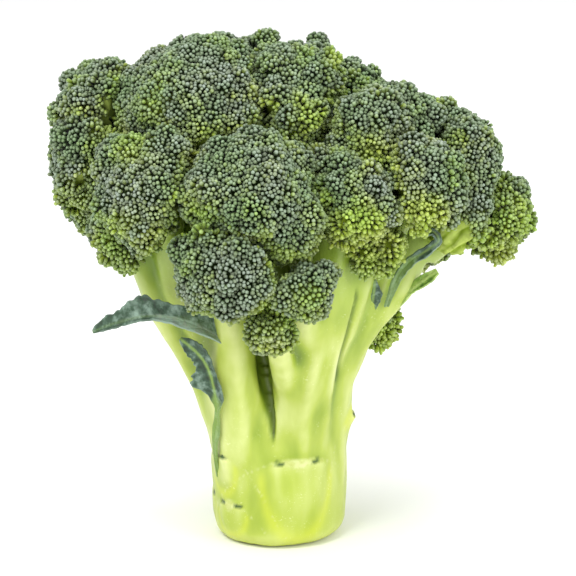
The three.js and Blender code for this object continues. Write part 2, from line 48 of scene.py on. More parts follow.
MM = 0.001
WELD = 0.001 * MM  # points nearer than this are made one
HALF_SMOOTH = 0.5  # how far one smoothing step moves a point
STALK_GRAIN = 1.1 * MM  # from one point of its skin to the next
STALK_MELT = 14  # smoothing steps that take the facets out

# Near its crown each branch splits into small stems. They start a little below the crown, on the
# line from the last point of the branch's route, in millimetres, to the crown's middle.
BRANCH_ENDS = {
    "crown_front": (-17, -20, 74),
    "crown_centre_right": (9, -19, 72),
    "crown_front_low": (-18, -31, 92),
    "crown_low_front": (8, -37, 93),
    "crown_lowest": (-1, -38, 81),
    "crown_right": (47, -9, 104),
    "crown_right_edge": (53, -8, 108),
    "crown_right_front": (34, -17, 102),
    "crown_right_upper": (26, -8, 108),
    "crown_cleft": (27, -23, 94),
    "crown_side_low": (25, 8, 59),
    "crown_left_edge": (-47.5, -7, 98),
    "crown_left_low": (-46, -13, 95),
    "crown_left_front": (-39, -18, 104),
    "crown_left_top": (-28, 4, 100),
    "crown_right_back": (22, 15, 102),
    "crown_left_back": (-26, 26, 86),
    "crown_back": (3, 30, 84),
    "crown_back_right": (30, 27, 82),
    "crown_left_side": (-46, 13, 92),
    "crown_right_side": (35, 17, 88),
    "crown_back_low": (-13, 38, 80),
}
FORK_BELOW = 9 * MM  # from where the small stems start to the crown
STEM_RINGS = [(24, 5, 2.3), (42, 8, 1.9), (56, 9, 1.6)]  # lean in degrees, how many, half girth in mm
STEM_STRAY_LEAN = 5  # in degrees
STEM_STRAY_TURN = 0.25  # as a share of the turn from one stem of a ring to the next
STEM_REACH = 26 * MM  # the longest
STEM_DEPTH = 3.5 * MM  # how far a small stem goes into its crown
STEM_POINTS = 9
STEM_GIRTHS = (1.25, 0.90)  # at its root and its tip, as shares of its ring's
STEM_MELT = 3  # smoothing steps that let them run into their branch

# Shields are the swollen feet of leaves that were cut off, each below a pale scar with a dark notch
# at either end. They face an angle in degrees round the stalk. The rest is in millimetres.
SHIELDS = [
    {"facing": -75, "top": 35, "half": 14, "long": 31, "rise": 1.2},
    {"facing": -146, "top": 36, "half": 8, "long": 17, "rise": 0.9},
    {"facing": -137, "top": 17, "half": 8, "long": 13, "rise": 0.8},
    {"facing": -4, "top": 50, "half": 6, "long": 24, "rise": 0.7},
    {"facing": 55, "top": 24, "half": 10, "long": 19, "rise": 1.0},
    {"facing": 130, "top": 33, "half": 10, "long": 21, "rise": 1.0},
    {"facing": 178, "top": 17, "half": 9, "long": 14, "rise": 0.9},
]
CREST_BOW = 3.0  # how much lower a shield's top is at its sides
HALO_WIDE = 0.11  # of the yellow line round a shield, as a share of its half width
SCAR_DEEP = 3.8  # of the pale scar in the middle of a shield's top
SCAR_SUNK = 0.25
NOTCH_OUT = 0.5  # from a shield's middle to its notches, as a share of its half width
NOTCH_SIZE = 0.95
NOTCH_SHAPE = (2.0, 0.8)  # its half length and half height
NOTCH_LEAN = 0.45
NOTCH_SUNK = 0.5
STUB = ((20, -7, 42.5), (28.6, -7, 48))  # a cut stub on the right, from its root to its dark tip
STUB_HALO = (5.2, 3.4)  # from its middle line to where the yellow round it starts and is full
STUB_TIP = (2.4, 1.4)  # the same for its dark tip
FOOT_EDGE = 5.5  # height of the rounded edge of the cut foot
FOOT_WORN = 2.0  # how far it is drawn in at its lowest
FOOT_UNEVEN = 0.8
FOOT_TURN = math.radians(-40)  # where it is drawn in most

# Ridges run up the skin: how high each kind stands in millimetres, and how wide it is.
BROAD_RIDGE = (0.42, 9 * MM)
FINE_RIDGE = (0.08, 2.6 * MM)
SOFT_LUMP = (0.35, 13 * MM)
RIDGE_STRETCH = 0.2  # a ridge's width as a share of its length
UPRIGHT = 0.9  # skin that faces up or down more than this has no ridges
RIDGE_MELT = 60  # smoothing steps of the copy that the ridges are told from
RIDGE_TONE_AND_LIGHT = 0.45  # how much paler or darker a millimetre makes them, partly the flesh's own paler ridges and partly painted highlight on the ridges and painted shade in the grooves
CROWN_SHADE_HEIGHTS = (80, 118)  # heights between which the skin is darkened under the crowns, as painted shade

# Clefts between two front limbs, from the top to the foot: the place across, the height, and how
# far it is open to its left, in millimetres. The right lip is sharp. Each one's depth comes first.
# Each groove is also painted darker in the skin, as painted shade in the recess.
CLEFTS = [
    (3.0, [(-5.6, 80, 7.0), (-5.2, 70, 6.2), (-4.0, 60, 4.6), (-2.9, 50, 2.9), (-2.8, 43, 1.4)]),
    (1.2, [(27.0, 97, 0.8), (23.3, 80, 1.4), (21.5, 72, 1.3), (19.8, 64, 0.5)]),
]
CLEFT_CURVE = 1.5  # above 1, the floor falls faster towards the lip
CLEFT_LIP = (1.2, -0.4)  # from its place across to where the lip is level and where it is down
CLEFT_FRONT = -8 * MM  # they are only in the skin before this


def select_only(piece):
    bpy.ops.object.select_all(action="DESELECT")
    piece.select_set(True)
    bpy.context.view_layer.objects.active = piece


def apply_modifier(piece, kind, **settings):
    select_only(piece)
    modifier = piece.modifiers.new(kind, kind)
    for name, value in settings.items():
        setattr(modifier, name, value)
    bpy.ops.object.modifier_apply(modifier=modifier.name)


def new_piece(name, mesh):
    piece = bpy.data.objects.new(name, mesh)
    bpy.context.scene.collection.objects.link(piece)
    return piece


def weld(piece):
    """Makes one point of all that lie in the same place."""
    select_only(piece)
    bpy.ops.object.mode_set(mode="EDIT")
    bpy.ops.mesh.select_all(action="SELECT")
    bpy.ops.mesh.remove_doubles(threshold=WELD)
    bpy.ops.object.mode_set(mode="OBJECT")


def melt(piece, grain, steps):
    """One soft skin of even points, with the facets smoothed out."""
    apply_modifier(piece, "REMESH", mode="VOXEL", voxel_size=grain)
    apply_modifier(piece, "SMOOTH", factor=HALF_SMOOTH, iterations=steps)
    bpy.ops.object.shade_smooth()


def melted_copy(node, name, grain, steps):
    """A CAD node as one soft skin."""
    piece = new_piece(name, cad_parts[node].data.copy())
    piece.data.materials.clear()
    weld(piece)
    melt(piece, grain, steps)
    return piece


def points_of(mesh):
    points = np.empty(len(mesh.vertices) * 3)
    mesh.vertices.foreach_get("co", points)
    return points.reshape(-1, 3)


def normals_of(mesh):
    normals = np.empty(len(mesh.vertices) * 3)
    mesh.vertex_normals.foreach_get("vector", normals)
    return normals.reshape(-1, 3)


def triangles_of(mesh):
    mesh.calc_loop_triangles()
    return [triangle.vertices[:] for triangle in mesh.loop_triangles]


def surface_tree(mesh):
    """The surface of a mesh, ready to be met by rays."""
    return BVHTree.FromPolygons(points_of(mesh).tolist(), triangles_of(mesh))


def move_points(mesh, points):
    mesh.vertices.foreach_set("co", points.ravel())
    mesh.update()


def paint(mesh, name, *channels):
    """Keeps up to three numbers from 0 to 1 at each point, for a material to read."""
    colours = np.ones((len(mesh.vertices), 4), np.float32)
    for channel, values in enumerate(channels):
        colours[:, channel] = np.clip(values, 0, 1)
    attribute = mesh.attributes.new(name, "FLOAT_COLOR", "POINT")
    attribute.data.foreach_set("color", colours.ravel())


def smooth_noise(points, scale, seed):
    """Even noise from -1 to 1 at each point. The scale is the size of its lumps."""
    shift = Vector((seed * 7.3, seed * 3.1, seed * 5.7))
    return np.array([noise.noise(Vector(point) / scale + shift) for point in points])


def smoothstep(low, high, values):
    share = np.clip((values - low) / (high - low), 0, 1)
    return share * share * (3 - 2 * share)


def meets_own_crown(crown, trees, fork, way):
    """How far a stem goes to its own crown, or None if another crown is in its way."""
    hits = {name: tree.ray_cast(fork, way, STEM_REACH)[3] for name, tree in trees.items()}
    nearest = min((hit for hit in hits.values() if hit is not None), default=None)
    return hits[crown] if hits[crown] == nearest else None


def small_stems(seed):
    """One mesh of small stems, each from its branch to the place of its crown that it meets."""
    random = np.random.default_rng(seed)
    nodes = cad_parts.items()
    trees = {name: surface_tree(node.data) for name, node in nodes if name.startswith("crown")}
    curve = bpy.data.curves.new("small_stems", "CURVE")
    curve.dimensions = "3D"
    curve.bevel_depth = MM
    curve.bevel_resolution = 2
    curve.use_fill_caps = True
    for crown, end in BRANCH_ENDS.items():
        end = Vector(end) * MM
        middle = Vector(points_of(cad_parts[crown].data).mean(axis=0))
        along = (middle - end).normalized()
        _, _, _, far = trees[crown].ray_cast(end, along)
        fork = end + along * max((far or 0) - FORK_BELOW, 0)
        aside = along.orthogonal().normalized()
        for lean, count, girth in STEM_RINGS:
            for step in range(count):
                stray = random.uniform(-STEM_STRAY_TURN, STEM_STRAY_TURN)
                turn = (step + stray) / count * 2 * math.pi
                slope = math.radians(lean + random.uniform(-STEM_STRAY_LEAN, STEM_STRAY_LEAN))
                way = Matrix.Rotation(turn, 3, along) @ aside
                way = along * math.cos(slope) + way * math.sin(slope)
                far = meets_own_crown(crown, trees, fork, way)
                if far is None:
                    continue
                tip = fork + way * (far + STEM_DEPTH)
                bend = fork + along * (tip - fork).length * 0.5
                stem = curve.splines.new("POLY")
                stem.points.add(STEM_POINTS - 1)
                for point, t in zip(stem.points, np.linspace(0, 1, STEM_POINTS)):
                    place = fork * (1 - t) ** 2 + bend * 2 * t * (1 - t) + tip * t**2
                    point.co = (*place, 1)
                    point.radius = girth * (STEM_GIRTHS[0] + (STEM_GIRTHS[1] - STEM_GIRTHS[0]) * t)
    stems = bpy.data.objects.new("small_stems", curve)
    bpy.context.scene.collection.objects.link(stems)
    select_only(stems)
    bpy.ops.object.convert(target="MESH")
    return bpy.context.object


stalk = melted_copy("stalk", "stalk_skin", STALK_GRAIN, STALK_MELT)
stems = small_stems(seed=70)
select_only(stalk)
stems.select_set(True)
bpy.ops.object.join()
melt(stalk, STALK_GRAIN, STEM_MELT)
points = points_of(stalk.data)
normals = normals_of(stalk.data)

halo, scar, notch, cleft, rise = np.zeros((5, len(points)))
turn = np.arctan2(points[:, 1], points[:, 0])
girth = np.hypot(points[:, 0], points[:, 1]) / MM
height = points[:, 2] / MM
for place in SHIELDS:
    facing = math.radians(place["facing"])
    across = np.arctan2(np.sin(turn - facing), np.cos(turn - facing)) * girth / place["half"]
    crest = place["top"] - CREST_BOW * across**2
    below = crest - height
    down = below / place["long"]
    inside = 1 - np.hypot(across, np.clip(down, 0, 2))
    body = smoothstep(0, 0.45, inside) * smoothstep(-0.05, 0.05, down)
    halo = np.maximum(halo, np.exp(-((inside / HALO_WIDE) ** 2)) * smoothstep(-0.02, 0.2, down))
    rise += place["rise"] * body * (1 - 0.5 * np.clip(down, 0, 1))
    deep = SCAR_DEEP * np.clip(1 - np.abs(across) / NOTCH_OUT, 0, 1)
    scar = np.maximum(scar, smoothstep(-0.5, 0.2, below) * smoothstep(0.5, -0.2, below - deep))
    aside = (np.abs(across) - NOTCH_OUT) * place["half"]
    lean = (height - crest + 0.4) - NOTCH_LEAN * aside
    from_notch = np.hypot(aside / NOTCH_SHAPE[0], lean / NOTCH_SHAPE[1]) / NOTCH_SIZE
    notch = np.maximum(notch, smoothstep(1.3, 0.6, from_notch))

root, tip = (np.array(end) for end in STUB)
along_stub = np.clip((points / MM - root) @ (tip - root) / ((tip - root) @ (tip - root)), 0, 1)
from_stub = np.linalg.norm(points / MM - root - along_stub[:, None] * (tip - root), axis=1)
halo = np.maximum(halo, smoothstep(*STUB_HALO, from_stub) * smoothstep(0.1, 0.5, along_stub))
notch = np.maximum(notch, smoothstep(*STUB_TIP, np.linalg.norm(points / MM - tip, axis=1)))

# The groove of each cleft is sunk into the skin and also kept as painted shade.
for deep, route in CLEFTS:
    middle, level, open_to = (np.array(values)[::-1] for values in zip(*route))
    beside = points[:, 0] / MM - np.interp(height, level, middle)
    groove = np.clip(1 + beside / np.interp(height, level, open_to), 0, 1) ** CLEFT_CURVE
    groove *= smoothstep(*CLEFT_LIP, beside)
    groove *= smoothstep(level[0] - 3, level[0] + 4, height)
    groove *= smoothstep(level[-1] + 5, level[-1], height)
    groove *= points[:, 1] < CLEFT_FRONT
    cleft = np.maximum(cleft, groove)
    rise -= deep * groove

side = np.abs(normals[:, 2]) < UPRIGHT
drawn_out = points * (1, 1, RIDGE_STRETCH)
for seed, spots, (high, wide) in (
    (1, drawn_out, BROAD_RIDGE),
    (2, drawn_out, FINE_RIDGE),
    (3, points, SOFT_LUMP),
):
    rise += side * high * smooth_noise(spots, wide, seed)
rise -= SCAR_SUNK * scar + NOTCH_SUNK * notch
points = points + normals * (rise * MM)[:, None]
points[:, 2] = np.maximum(points[:, 2], 0.0)
worn = FOOT_WORN * np.clip(1 - height / FOOT_EDGE, 0, 1) ** 2
worn *= 1 + FOOT_UNEVEN * np.cos(turn - FOOT_TURN)
points[:, :2] *= (1 - worn / np.maximum(girth, 1))[:, None]
move_points(stalk.data, points)

# Ridges and grooves are told apart by how far the skin stands from a much smoother copy of it.
# Ridges are painted paler and grooves darker by it: partly the flesh's own colour, partly painted
# highlight on the ridges and painted shade in the grooves.
smoother = stalk.copy()
smoother.data = stalk.data.copy()
bpy.context.scene.collection.objects.link(smoother)
apply_modifier(smoother, "SMOOTH", factor=HALF_SMOOTH, iterations=RIDGE_MELT)
stand = ((points - points_of(smoother.data)) * normals_of(stalk.data)).sum(axis=1) / MM
bpy.data.objects.remove(smoother)
paint(stalk.data, "stalk_marks", 0.5 + RIDGE_TONE_AND_LIGHT * stand, scar, halo)
# The second channel is painted shade under the crowns.
paint(stalk.data, "stalk_spots_and_shade", notch, smoothstep(*CROWN_SHADE_HEIGHTS, height), cleft)


def material_of(name, roughness):
    """A new material and its shader, with its plain gloss set."""
    material = bpy.data.materials.new(name)
    material.use_nodes = True
    shader = material.node_tree.nodes["Principled BSDF"]
    shader.inputs["Roughness"].default_value = roughness
    return material, shader


def add_node(material, kind, **settings):
    node = material.node_tree.nodes.new(kind)
    for name, value in settings.items():
        setattr(node, name, value)
    return node


def join(material, source, target):
    material.node_tree.links.new(source, target)


def marks(material, name):
    """The painted numbers of a piece."""
    reader = add_node(material, "ShaderNodeAttribute", attribute_name=name)
    split = add_node(material, "ShaderNodeSeparateColor")
    join(material, reader.outputs["Color"], split.inputs["Color"])
    return split.outputs["Red"], split.outputs["Green"], split.outputs["Blue"]


def ramp(material, factor, *stops):
    """Colours from a number, each stop a place from 0 to 1 and a colour."""
    node = add_node(material, "ShaderNodeValToRGB")
    elements = node.color_ramp.elements
    while len(elements) < len(stops):
        elements.new(0.5)
    for element, (place, colour) in zip(elements, stops):
        element.position = place
        element.color = (*colour, 1)
    join(material, factor, node.inputs["Fac"])
    return node.outputs["Color"]


def blended(material, factor, under, over, blend="MIX"):
    """One colour over another. A factor or a colour is a number, a tuple or a socket."""
    node = add_node(material, "ShaderNodeMix", data_type="RGBA", blend_type=blend)
    sockets = (node.inputs[0], node.inputs[6], node.inputs[7])  # those of a factor and two colours
    for value, socket in zip((factor, under, over), sockets):
        if isinstance(value, bpy.types.NodeSocket):
            join(material, value, socket)
        elif isinstance(value, tuple):
            socket.default_value = (*value, 1)
        else:
            socket.default_value = value
    return node.outputs[2]


def cloud(material, scale, detail=3.0, stretch=(1, 1, 1), twisted=0.0):
    """Noise on the piece's own place, so many lumps to a metre."""
    place = add_node(material, "ShaderNodeTexCoord")
    mapping = add_node(material, "ShaderNodeMapping")
    mapping.inputs["Scale"].default_value = stretch
    texture = add_node(material, "ShaderNodeTexNoise")
    texture.inputs["Scale"].default_value = scale
    texture.inputs["Detail"].default_value = detail
    texture.inputs["Distortion"].default_value = twisted
    join(material, place.outputs["Object"], mapping.inputs["Vector"])
    join(material, mapping.outputs["Vector"], texture.inputs["Vector"])
    return texture.outputs["Fac"]


def number(material, operation, *values):
    """One step of arithmetic on numbers or sockets."""
    node = add_node(material, "ShaderNodeMath", operation=operation)
    for value, socket in zip(values, node.inputs):
        if isinstance(value, bpy.types.NodeSocket):
            join(material, value, socket)
        else:
            socket.default_value = value
    return node.outputs[0]


def washed(material, where, strength, under, over):
    """A colour laid over another in some places, with a strength from 0 to 1."""
    return blended(material, number(material, "MULTIPLY", where, strength), under, over)


def mask(material, value, none_at, all_at):
    """From 0 to 1 as a number goes from one place to the other, either of which may be higher."""
    stops = sorted([(none_at, (0, 0, 0)), (all_at, (1, 1, 1))])
    return ramp(material, value, *stops)


def bump(material, shader, height, distance):
    node = add_node(material, "ShaderNodeBump")
    node.inputs["Distance"].default_value = distance
    join(material, height, node.inputs["Height"])
    join(material, node.outputs["Normal"], shader.inputs["Normal"])


# The skin's greens, from its deepest furrow to its highest ridge, darkest there as painted shade and
# palest on the ridges as its own cream and painted highlight, and what lies over them.
FLESH_AND_RIDGE_LIGHT = [
    (0.05, (0.10, 0.17, 0.01)),
    (0.33, (0.27, 0.375, 0.025)),
    (0.56, (0.42, 0.515, 0.07)),
    (0.9, (0.66, 0.72, 0.28)),
]
LIME = (0.39, 0.49, 0.028)
HALO_YELLOW = (0.62, 0.68, 0.03)
RIND_YELLOW = (0.60, 0.66, 0.04)
SHADED_GREEN = (0.24, 0.38, 0.03)
SPECK_CREAM = (0.80, 0.84, 0.50)
SCAR_BEIGE = [(0.42, (0.68, 0.72, 0.34)), (0.70, (0.50, 0.53, 0.14))]
CLEFT_SHADE_OLIVE = (0.12, 0.17, 0.010)
NOTCH_GREEN = (0.035, 0.09, 0.010)
LIMY_HIGH = 50 * MM  # height over which the lime of the foot fades
RIND_HIGH = 6 * MM  # the same for the yellow rind at its edge


def waxy_skin():
    """Yellow-green skin: creamy on its ridges and lime in its hollows, partly its own colour and
    partly painted highlight and painted shade, with painted shade in the clefts and under the crowns.
    """
    skin, shader = material_of("waxy_stalk_skin", 0.42)
    ridge_tone_and_light, scarred, haloed = marks(skin, "stalk_marks")
    notched, painted_crown_shade, painted_cleft_shade = marks(skin, "stalk_spots_and_shade")
    drift = number(skin, "SUBTRACT", cloud(skin, 75, 3, (1, 1, 0.4)), 0.5)
    green = ramp(skin, number(skin, "ADD", ridge_tone_and_light, number(skin, "MULTIPLY", drift, 0.9)), *FLESH_AND_RIDGE_LIGHT)
    place = add_node(skin, "ShaderNodeTexCoord")
    axes = add_node(skin, "ShaderNodeSeparateXYZ")
    join(skin, place.outputs["Object"], axes.inputs[0])
    height = axes.outputs[2]
    foot = mask(skin, number(skin, "DIVIDE", height, LIMY_HIGH), 0.8, 0.0)
    patches = ramp(skin, cloud(skin, 45, 3), (0.4, (0.25, 0.25, 0.25)), (0.6, (1, 1, 1)))
    rind = mask(skin, number(skin, "DIVIDE", height, RIND_HIGH), 1.0, 0.1)
    speck = mask(skin, cloud(skin, 560, 1, twisted=3.0), 0.66, 0.75)
    few = mask(skin, cloud(skin, 90, 2), 0.45, 0.6)
    beige = ramp(skin, cloud(skin, 500, 4), *SCAR_BEIGE)
    for where, strength, over in (
        (number(skin, "MULTIPLY", foot, patches), 0.75, LIME),
        (haloed, 0.45, HALO_YELLOW),
        (rind, 0.5, RIND_YELLOW),
        # painted shade under the crowns
        (painted_crown_shade, 0.75, SHADED_GREEN),
        (number(skin, "MULTIPLY", speck, few), 0.4, SPECK_CREAM),
        (scarred, 0.7, beige),
        # painted shade in the clefts
        (painted_cleft_shade, 0.85, CLEFT_SHADE_OLIVE),
        (notched, 1.0, NOTCH_GREEN),
    ):
        green = washed(skin, where, strength, green, over)
    join(skin, green, shader.inputs["Base Color"])
    bump(skin, shader, cloud(skin, 700, 4, (1, 1, 0.3)), 0.0001)
    shader.inputs["Subsurface Weight"].default_value = 0.1
    shader.inputs["Subsurface Radius"].default_value = (0.004, 0.005, 0.002)
    shader.inputs["Coat Weight"].default_value = 0.1
    shader.inputs["Coat Roughness"].default_value = 0.3
    return skin


stalk.data.materials.append(waxy_skin())
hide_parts("stalk")
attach(stalk, "root")

# The crowns.
# Each branch ends in a crown, a dome of closed flower buds about 1.5 mm wide that sit in bunches
# of a dozen or so. The buds are modelled once, and planted over a soft core that gives the dome.

HEART = Vector((0, -4, 88)) * MM  # the place that the crowns grew away from
CORE_GRAIN = 1.9 * MM
CORE_MELT = 9
BUD_WIDE = 1.55 * MM
BUD_LONG = 2.1 * MM
BUD_STEP = 1.09 * MM  # the least from one bud to the next
BUNCH_STEP = 5.6 * MM  # from one bunch to the next
BUNCH_INNER = 0.8  # how much of that lies inside the creases
BUNCH_RISE = 1.7 * MM  # how far the middle of a bunch stands out
BUNCH_VARIES = 0.35 * MM
OPEN_CROWNS = [
    "crown_left_top",
    "crown_left_edge",
    "crown_left_low",
    "crown_left_side",
    "crown_top_middle",
    "crown_cleft",
    "crown_centre_right",
    "crown_right_front",
    "crown_right_upper",
    "crown_right_edge",
    "crown_back_low",
    "crown_top_back",
]
OPEN_MORE = 1.7  # how many times as uneven the bunches are on those, which have begun to open
STRAYS = 0.07  # share of their bunches that stand out by themselves
STRAY_RISE = 1.6 * MM
BUNCH_FAN = 0.8  # how far the outer buds of a bunch lean away from its middle
ROOT_DEEP = 0.5  # how many millimetres a bud's foot is under the core's skin
CROWDED = 4.5 * MM  # a crown turns in, and its buds get painted shade, where another is nearer than this
TURNED_IN = 2.2 * MM
LOOK_FROM = 0.3  # how many millimetres above a crown's skin its neighbours are looked for
PRESSED = 1.6 * MM  # crowns closer together than this grow no buds between them
UNDERSIDE = -0.42  # share of a face's normal along its crown's growth below which no bud grows
LOWEST_SLOPE = -0.15  # unless its normal's share straight up is more than this
SUNK = 1.3  # how many millimetres the core lies under the solid's skin, to leave room for buds
SWELL = 2.2  # height in millimetres of the core's broad swellings
SWELL_WIDE = 17 * MM
CREASE = 3.4  # depth in millimetres of the creases between its lumps
CREASE_LEVEL = 0.22  # the noise at which a crease starts
CREASE_WIDE = 11 * MM
TRIES = 7  # places tried for each bud that there is room for

# How buds differ from each other, as the spread of each value.
LEAN_VARIES = 0.15
SIZE_VARIES = 0.1
HEIGHT_VARIES = 0.16  # in millimetres
LOOSE = 2.0  # how many millimetres a yellow bud may stand out
TONE = (0.55, 0.18)  # the middle and the spread of how pale a bud is
YELLOW_VARIES = 0.12
BUNCH_YELLOW = (0.03, 0.13)  # the middle and the spread of what a bunch adds
RIM_YELLOW = 0.55  # how yellow a crown is at its lower rim
RIM = (0.25, -0.35)  # share of a bud's way along its crown's growth where the rim starts and is full

# Where a crown is flatter than its solid: each place, how far round it that reaches, and how far
# the crown is drawn in, in millimetres.
FLATTER = [
    ((12, 2, 187), 15, 2.8),
    ((-76, 6, 172), 18, 2.6),
    ((35, 3, 173), 13, 1.8),
    ((48, -3, 169), 13, 1.8),
    ((76, -3, 155), 16, 2.4),
    ((64, 30, 96), 15, 3.2),
    ((92, -8, 121), 11, 1.6),
    ((85, -11, 109), 10, 1.6),
    ((-84, -5, 143), 13, 1.2),
    ((-82, 1, 125), 12, 2.0),
    ((-66, -18, 112), 10, 1.2),
    ((46, 8, 80), 13, 2.2),
]

# Buds that are yellower and looser: each patch's middle and reach in millimetres, and its strength.
YELLOW_PATCHES = [
    ((34, -36, 116), 13, 1.0),
    ((78, -10, 116), 20, 0.8),
    ((66, -20, 118), 15, 0.75),
    ((49, -42, 127), 12, 0.95),
    ((26, -48, 124), 13, 1.0),
    ((31, -30, 150), 9, 0.9),
    ((9, -30, 160), 9, 0.75),
    ((23, -12, 182), 8, 0.8),
    ((-42, -24, 167), 8, 0.85),
    ((-60, -16, 157), 9, 0.6),
    ((-57, -32, 113), 16, 0.5),
    ((-30, -58, 132), 9, 0.6),
    ((-52, -46, 127), 8, 0.6),
    ((10, -60, 102), 8, 0.45),
    ((40, 8, 80), 17, 1.0),
    ((-1, -47, 90), 13, 0.55),
    ((-19, -46, 95), 9, 0.9),
    ((-26, -44, 138), 8, 0.7),
    ((-50, -36, 150), 9, 0.6),
    ((-72, -10, 130), 12, 0.5),
    ((48, -28, 150), 9, 0.55),
    ((60, -24, 140), 9, 0.5),
]

# Where no bud grows and the pale fan of small stems shows: each place's middle and reach.
BARE_PLACES = [((54, -31, 119), 9), ((47, -30, 112), 7), ((63, -26, 116), 8)]
FAN_RIBS = 30  # small stems to a full turn round the branch's end
FAN_RIB_RISE = 0.7  # in millimetres


def bud_pattern():
    """One closed bud, blunt at its tip."""
    bpy.ops.object.select_all(action="DESELECT")
    bpy.ops.mesh.primitive_uv_sphere_add(segments=6, ring_count=4, radius=BUD_WIDE / 2)
    bud = bpy.context.object
    bpy.ops.object.mode_set(mode="EDIT")
    bpy.ops.transform.resize(value=(1, 1, BUD_LONG / BUD_WIDE))
    bpy.ops.object.mode_set(mode="OBJECT")
    for vertex in bud.data.vertices:
        share = vertex.co.z / (BUD_LONG / 2)
        if share > 0.9:
            vertex.co.z -= 0.2 * BUD_LONG / 2
        elif share < -0.3:
            vertex.co = (0, 0, -BUD_LONG / 2)
    weld(bud)
    corners = np.array(sorted(triangles_of(bud.data)))  # welding lists them in no set order
    shape = points_of(bud.data)
    bpy.data.objects.remove(bud)
    return shape, corners, int(shape[:, 2].argmin())


BUD_SHAPE, BUD_CORNERS, BUD_FOOT = bud_pattern()


def planted(name, spots, roots, ways, wide, long, spin, marks_at):
    """One mesh of many buds, each at its spot along its way, with its foot drawn out to its root."""
    helper = np.where(np.abs(ways[:, 2:]) < 0.9, [[0.0, 0.0, 1.0]], [[1.0, 0.0, 0.0]])
    first = np.cross(helper, ways)
    first /= np.linalg.norm(first, axis=1, keepdims=True)
    second = np.cross(ways, first)
    cos, sin = np.cos(spin)[:, None], np.sin(spin)[:, None]
    right, front = first * cos + second * sin, second * cos - first * sin
    shape = BUD_SHAPE[None]
    points = spots[:, None] + shape[..., :1] * (right * wide[:, None])[:, None]
    points = points + shape[..., 1:2] * (front * wide[:, None])[:, None]
    points = points + shape[..., 2:] * (ways * long[:, None])[:, None]
    points[:, BUD_FOOT] = roots
    count = len(BUD_SHAPE)
    corners = BUD_CORNERS[None] + (np.arange(len(spots)) * count)[:, None, None]
    mesh = bpy.data.meshes.new(name)
    mesh.vertices.add(len(spots) * count)
    mesh.loops.add(corners.size)
    mesh.polygons.add(corners.size // 3)
    mesh.vertices.foreach_set("co", points.ravel())
    mesh.loops.foreach_set("vertex_index", corners.ravel())
    mesh.polygons.foreach_set("loop_start", np.arange(0, corners.size, 3))
    mesh.polygons.foreach_set("use_smooth", np.ones(corners.size // 3, bool))
    mesh.update(calc_edges=True)
    up = 0.5 + BUD_SHAPE[:, 2] / BUD_LONG
    paint(mesh, "bud_marks", np.tile(up, len(spots)), *(np.repeat(mark, count) for mark in marks_at))
    return mesh


def point_tree(points):
    tree = kdtree.KDTree(len(points))
    for index, point in enumerate(points):
        tree.insert(point, index)
    tree.balance()
    return tree


def thinned(points, reach):
    """Which points to keep, first come first kept, so that no two are nearer than the reach."""
    tree = point_tree(points)
    free = np.ones(len(points), bool)
    kept = []
    for index, point in enumerate(points):
        if not free[index]:
            continue
        kept.append(index)
        for _, near, _ in tree.find_range(point, reach):
            free[near] = False
    return np.array(kept)


def how_far(points, middle, reach):
    """How far each point is from a place in millimetres, as a share of the place's reach."""
    return np.linalg.norm(points / MM - np.array(middle), axis=1) / reach


def yellowness(points):
    strength = np.zeros(len(points))
    for middle, reach, most in YELLOW_PATCHES:
        strength = np.maximum(strength, most * smoothstep(1.25, 0.5, how_far(points, middle, reach)))
    return strength


def bareness(points):
    bare = np.zeros(len(points))
    for middle, reach in BARE_PLACES:
        bare = np.maximum(bare, smoothstep(1.15, 0.85, how_far(points, middle, reach)))
    return bare


def open_skin(core, growth, others):
    """Where a crown is open to the air, and how much room it has there, as a share of plenty."""
    points, normals = points_of(core.data), normals_of(core.data)
    open_air = (normals @ growth > UNDERSIDE) | (normals[:, 2] > LOWEST_SLOPE)
    open_air &= bareness(points) < 0.5
    room = np.ones(len(points))
    for index in np.nonzero(open_air)[0]:
        way = Vector(normals[index])
        start = Vector(points[index]) + way * LOOK_FROM * MM
        open_air[index] = all(tree.ray_cast(start, way, PRESSED)[0] is None for tree in others)
        gaps = [tree.find_nearest(start, CROWDED)[3] for tree in others]
        room[index] = min((gap for gap in gaps if gap is not None), default=CROWDED) / CROWDED
    return open_air, room


def tried_places(points, normals, corners, room, random):
    """Many random places on the skin, with the way that each faces and its room."""
    a, b, c = (points[corners[:, k]] for k in range(3))
    area = np.linalg.norm(np.cross(b - a, c - a), axis=1) / 2
    tries = int(area.sum() / BUD_STEP**2 * TRIES)
    pick = random.choice(len(corners), tries, p=area / area.sum())
    u, v = random.random(tries), random.random(tries)
    fold = u + v > 1
    u[fold], v[fold] = 1 - u[fold], 1 - v[fold]
    w = 1 - u - v
    spots = a[pick] * w[:, None] + b[pick] * u[:, None] + c[pick] * v[:, None]
    ways = sum(normals[corners[pick, k]] * share[:, None] for k, share in enumerate((w, u, v)))
    ways /= np.linalg.norm(ways, axis=1, keepdims=True)
    near = sum(room[corners[pick, k]] * share for k, share in enumerate((w, u, v)))
    return spots, ways, near


